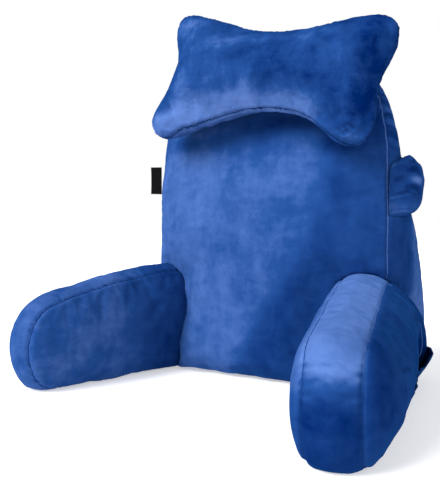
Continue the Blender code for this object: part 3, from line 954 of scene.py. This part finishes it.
def build_head(look):
    """The head pillow, with its seam brought forward along the bottom arc."""
    piece = remeshed("head_pillow", "head_pillow_plush", HEAD_VOXEL, SHRINK)
    knots = HEAD_SCALE * np.array(HEAD_OUTLINE)[::-1]
    outline = smooth_loop(even_loop(curved_loop(knots), 360), 5)
    middle = 1.0 - eased_step(np.abs(outline[:, 0]), 0.12, 0.17)
    below = eased_step(-outline[:, 1], 0.03, 0.06) * middle
    seam = head_point(outline + 0.004 * np.stack([0 * below, below], axis=1), -0.011 * below)
    stuff(piece, held_near(piece, [seam], 0.004), 0.006, 0.02)
    refine(piece)
    undulate(piece, 0.0010, 0.07, 80)
    tree = tree_of(piece)
    seam = on_surface(tree, seam)
    sew(piece, seam, True, groove=0.0030, lip=0.0009, pucker=0.0014, wavelength=0.015, seed=31)
    for u0, v0, u1, v1, depth, width in HEAD_CREASES:
        flat = np.linspace([u0, v0], [u1, v1], 9)
        line = head_point(flat, np.full(9, -0.03))
        crease(piece, on_surface(tree, line), depth, width)
    points = coordinates(piece.data) - HEAD_PLACE
    right = points[:, 0] * math.cos(HEAD_ROLL) + points[:, 2] * math.sin(HEAD_ROLL)
    up = points[:, 2] * math.cos(HEAD_ROLL) - points[:, 0] * math.sin(HEAD_ROLL)
    # Painted light and shade: a lighter band along the lower middle, and the listed light and dark
    # patches.
    lower = bump_at(up, -0.050 - 1.1 * right**2, 0.024) * (1 - eased_step(right, 0.07, 0.15))
    tone = -0.48 + 1.15 * lower
    for u0, v0, wide, high, amount in HEAD_LIGHT_AND_SHADE:
        tone += amount * bump_at(right, u0, wide) * bump_at(up, v0, high)
    set_nap_and_painted_light(piece, tone)
    dress(piece, look, "head_pillow")
    tube("head_pillow_seam", on_surface(tree_of(piece), seam, 0.0002), True, 0.0009, look, -0.6)
    return piece


# Side pocket: its ends along the arm, its thickness, and how far the arm's face is drawn in behind its
# rim.
POCKET_ENDS = (0.149, -0.138)
POCKET_THICK = 0.0014
MOUTH_DEPTH = 0.015
# Places along the arm, and the rim's height and its gape there.
POCKET_RIM = (
    [-0.14, -0.11, -0.075, -0.035, 0.01, 0.06, 0.11, 0.15],
    [0.055, 0.058, 0.051, 0.047, 0.047, 0.050, 0.052, 0.050],
)
POCKET_GAPE = (
    [-0.14, -0.10, -0.05, 0.05, 0.15],
    [0.001, 0.0035, 0.005, 0.004, 0.001],
)


def open_mouth(arm):
    """Draws the arm's outer face in behind the pocket's rim, so that the mouth stands open, and paints
    shade into that hollow.
    """
    points = coordinates(arm.data)
    along, height, offset = arm_measure(1, points)
    dent = eased_step(along, -0.135, -0.060) * (1.0 - eased_step(along, 0.030, 0.110))
    dent *= eased_step(height, 0.004, 0.032) * (1.0 - eased_step(height, 0.070, 0.112))
    dent *= eased_step(offset, 0.030, 0.055)
    _, outs = arm_path(1, along)
    points[:, :2] -= MOUTH_DEPTH * dent[:, None] * outs
    set_coordinates(arm.data, points)
    # Painted shade in the hollow behind the pocket's rim.
    layer = arm.data.attributes["nap_and_painted_light"]
    tone = np.empty(len(points), dtype=np.float32)
    layer.data.foreach_get("value", tone)
    layer.data.foreach_set("value", np.clip(tone - 0.8 * dent, -1.0, 1.0).astype(np.float32))


def build_pocket(look, arm, back):
    """A thin patch hugging the arm's outer face, open along its hemmed rim."""
    trees = [tree_of(arm), tree_of(back)]
    columns, rows = 121, 28
    along = np.linspace(*POCKET_ENDS, columns)
    rim = np.interp(along, *POCKET_RIM)
    rise = np.linspace(0.0, 1.0, rows)
    heights = rim[None] * rise[:, None]
    offsets = np.zeros((rows, columns))
    spots, outs = arm_path(1, along)
    for row in range(rows):
        for column in range(columns):
            out = Vector((*outs[column], 0.0))
            base = Vector((*spots[column], max(heights[row, column], 0.010)))
            found = 0.0
            for tree in trees:
                hit = tree.ray_cast(base + out * 0.2, -out, 0.19)[3]
                if hit is not None:
                    found = max(found, 0.2 - hit)
            offsets[row, column] = found
    open_mouth(arm)
    for _ in range(10):
        offsets[:, 1:-1] = 0.5 * offsets[:, 1:-1] + 0.25 * (offsets[:, :-2] + offsets[:, 2:])
        offsets[1:-1] = 0.5 * offsets[1:-1] + 0.25 * (offsets[:-2] + offsets[2:])
    gape = np.interp(along, *POCKET_GAPE)
    folds = 0.0016 * np.sin(along * 120.0) + 0.0010 * np.sin(along * 205.0 + 1.0)
    stand = 0.0012 + gape[None] * rise[:, None] ** 1.5 + folds[None] * rise[:, None] * 0.6
    hem = 0.0008 * eased_step(heights, rim[None] - 0.0125, rim[None] - 0.0105)
    layers = []
    for thick in (0.0, 1.0):
        for row in range(rows):
            cover = offsets[row] + stand[row] + thick * (POCKET_THICK + hem[row])
            flat = np.stack([along, heights[row]], axis=1)
            layers.append(arm_spot(1, flat, cover))
    points = np.vstack(layers)
    faces = []

    def corner(layer, row, column):
        """Index of one point of the patch, on its inner or outer layer."""
        return (layer * rows + row) * columns + column

    for row in range(rows - 1):
        for column in range(columns - 1):
            for layer in (0, 1):
                quad = [corner(layer, row, column), corner(layer, row, column + 1)]
                quad += [corner(layer, row + 1, column + 1), corner(layer, row + 1, column)]
                faces.append(quad)
    for column in range(columns - 1):
        for row in (0, rows - 1):
            faces.append([corner(0, row, column), corner(0, row, column + 1),
                          corner(1, row, column + 1), corner(1, row, column)])
    for row in range(rows - 1):
        for column in (0, columns - 1):
            faces.append([corner(0, row, column), corner(0, row + 1, column),
                          corner(1, row + 1, column), corner(1, row, column)])
    piece = new_piece("side_pocket_plush", points, faces)
    set_nap_and_painted_light(piece, np.full(len(points), -0.35))
    dress(piece, look, "side_pocket")
    return piece


# Tape of the tag: half its thickness, its swell at the fold and the height of its stitches.
TAPE_HALF = 0.00035
TAPE_SWELL = 0.00055
TAPE_STITCH = 0.00012


def build_tag(look):
    """A folded strip of woven tape, its fold outermost, pressed together near the seam."""
    low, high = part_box("label_tag")
    width = high.x - low.x
    columns, rows = 22, 30
    vertices = []
    for layer in (-1.0, 1.0):
        for row in range(rows + 1):
            for column in range(columns + 1):
                share = column / columns
                rise = row / rows
                half = TAPE_HALF + TAPE_SWELL * math.exp(-((share / 0.07) ** 2))
                if column == 0:
                    half = 0.00005
                bow = 0.0007 * math.sin(math.pi * rise) * (1.0 - share)
                y = 0.5 * (low.y + high.y) + layer * half + bow
                stitch = TAPE_STITCH if abs(share - 0.80) < 0.02 and row % 2 else 0.0
                z = low.z + (high.z - low.z) * rise - 0.0011 * (share - 0.5)
                vertices.append((low.x + width * share, y - layer * stitch, z))
    count = (rows + 1) * (columns + 1)
    faces = []
    for row in range(rows):
        for column in range(columns):
            a = row * (columns + 1) + column
            quad = [a, a + 1, a + columns + 2, a + columns + 1]
            faces.append(quad)
            faces.append([index + count for index in quad[::-1]])
    edges = [
        [row * (columns + 1) for row in range(rows + 1)],
        [row * (columns + 1) + columns for row in range(rows + 1)],
        list(range(columns + 1)),
        [rows * (columns + 1) + column for column in range(columns + 1)],
    ]
    for edge in edges:
        for a, b in zip(edge[:-1], edge[1:]):
            faces.append([a, b, b + count, a + count])
    piece = new_piece("label_tag_tape", vertices, faces)
    piece.data.set_sharp_from_angle(angle=math.radians(40.0))
    dress(piece, look, "label_tag")
    return piece


# Folds pressed into the side handle: start and end in the world, depth, width, and the painted shade
# along the fold, below zero a painted highlight.
HANDLE_FOLDS = [
    ((0.236, 0.036, 0.335), (0.246, 0.058, 0.331), 0.0034, 0.0032, 0.9),
    ((0.236, 0.034, 0.309), (0.246, 0.058, 0.304), 0.0044, 0.0036, 1.1),
    ((0.222, 0.016, 0.296), (0.240, 0.048, 0.299), 0.0020, 0.0024, 0.3),
    ((0.226, 0.018, 0.343), (0.240, 0.046, 0.348), 0.0020, 0.0026, 0.4),
    ((0.224, 0.018, 0.320), (0.236, 0.036, 0.318), 0.0016, 0.0036, 0.4),
    ((0.222, 0.010, 0.341), (0.236, 0.040, 0.351), -0.0012, 0.0020, -0.7),
    ((0.222, 0.010, 0.293), (0.236, 0.038, 0.300), -0.0012, 0.0020, -0.5),
    ((0.222, 0.010, 0.271), (0.236, 0.046, 0.275), -0.0008, 0.0016, -0.4),
]
# X of the back's side, where the handle is sewn on, and x up to which it is held as it is stuffed.
HANDLE_ROOT = 0.2175
HANDLE_HELD = 0.206


def build_handle(look):
    """The puffed side handle, drawn down to the seam at its front end."""
    piece = remeshed("side_handle", "side_handle_plush", HANDLE_VOXEL, -HANDLE_GROWTH, HANDLE_PASSES)
    held = np.where(coordinates(piece.data)[:, 0] < HANDLE_HELD, 1.0, 0.0)
    stuff(piece, held, 0.006, 0.0, 9.0)
    refine(piece)
    points = coordinates(piece.data)
    middle = 0.5 * (points.min(axis=0) + points.max(axis=0))
    points[:, 2] = middle[2] + 1.14 * (points[:, 2] - middle[2])
    upper = eased_step(points[:, 2], 0.315, 0.345)
    points[:, 2] += 0.013 * upper * bump_at(points[:, 1], 0.034, 0.020)
    points[:, 2] -= 0.009 * upper * eased_step(points[:, 1], 0.045, 0.075)
    longer = middle[1] + 1.10 * (points[:, 1] - middle[1])
    points[:, 1] = np.where(points[:, 1] < middle[1], longer, points[:, 1])
    rise = -0.25 + 1.25 * eased_step(points[:, 1], 0.004, 0.042)
    lowered = HANDLE_ROOT + rise * (points[:, 0] - HANDLE_ROOT)
    points[:, 0] = np.where(points[:, 0] > HANDLE_ROOT, lowered, points[:, 0])
    set_coordinates(piece.data, points)
    tree = tree_of(piece)
    folds = []
    for start, end, depth, width, _ in HANDLE_FOLDS:
        line = np.linspace(start, end, 9)
        line[:, 2] += (depth > 0.0) * 0.003 * np.sin(np.linspace(0.0, 3.14, 9))
        folds.append(on_surface(tree, line))
        crease(piece, folds[-1], depth, width, 0.7)
    points = coordinates(piece.data)
    # Painted light and shade: a highlight across the upper bulge and along the lower roll, and painted
    # shade along each fold.
    tone = -0.60 + 1.5 * bump_at(points[:, 2], 0.320, 0.007) * bump_at(points[:, 1], 0.050, 0.016)
    tone += 0.50 * bump_at(points[:, 2], 0.280, 0.010)
    for line, row in zip(folds, HANDLE_FOLDS):
        _, _, gap = nearest_on_line(points, line, False)
        tone -= row[4] * np.exp(-((gap / (1.3 * row[3])) ** 2))
    set_nap_and_painted_light(piece, tone)
    dress(piece, look, "side_handle")
    return piece


def main():
    """The studio, then each piece in the order that later pieces need."""
    build_camera()
    build_studio()
    body_look = plush_material("blue_plush_body", PLUSH_STOPS, 1.0, 1.05)
    head_look = plush_material("blue_plush_head", PLUSH_STOPS, 2.3, 1.9)
    _, left_tree = build_arm(-1, "arm_left", body_look)
    arm, right_tree = build_arm(1, "arm_right", body_look)
    back = build_back(body_look, [left_tree, right_tree])
    build_head(head_look)
    build_handle(body_look)
    build_pocket(body_look, arm, back)
    build_tag(tape_material())


main()
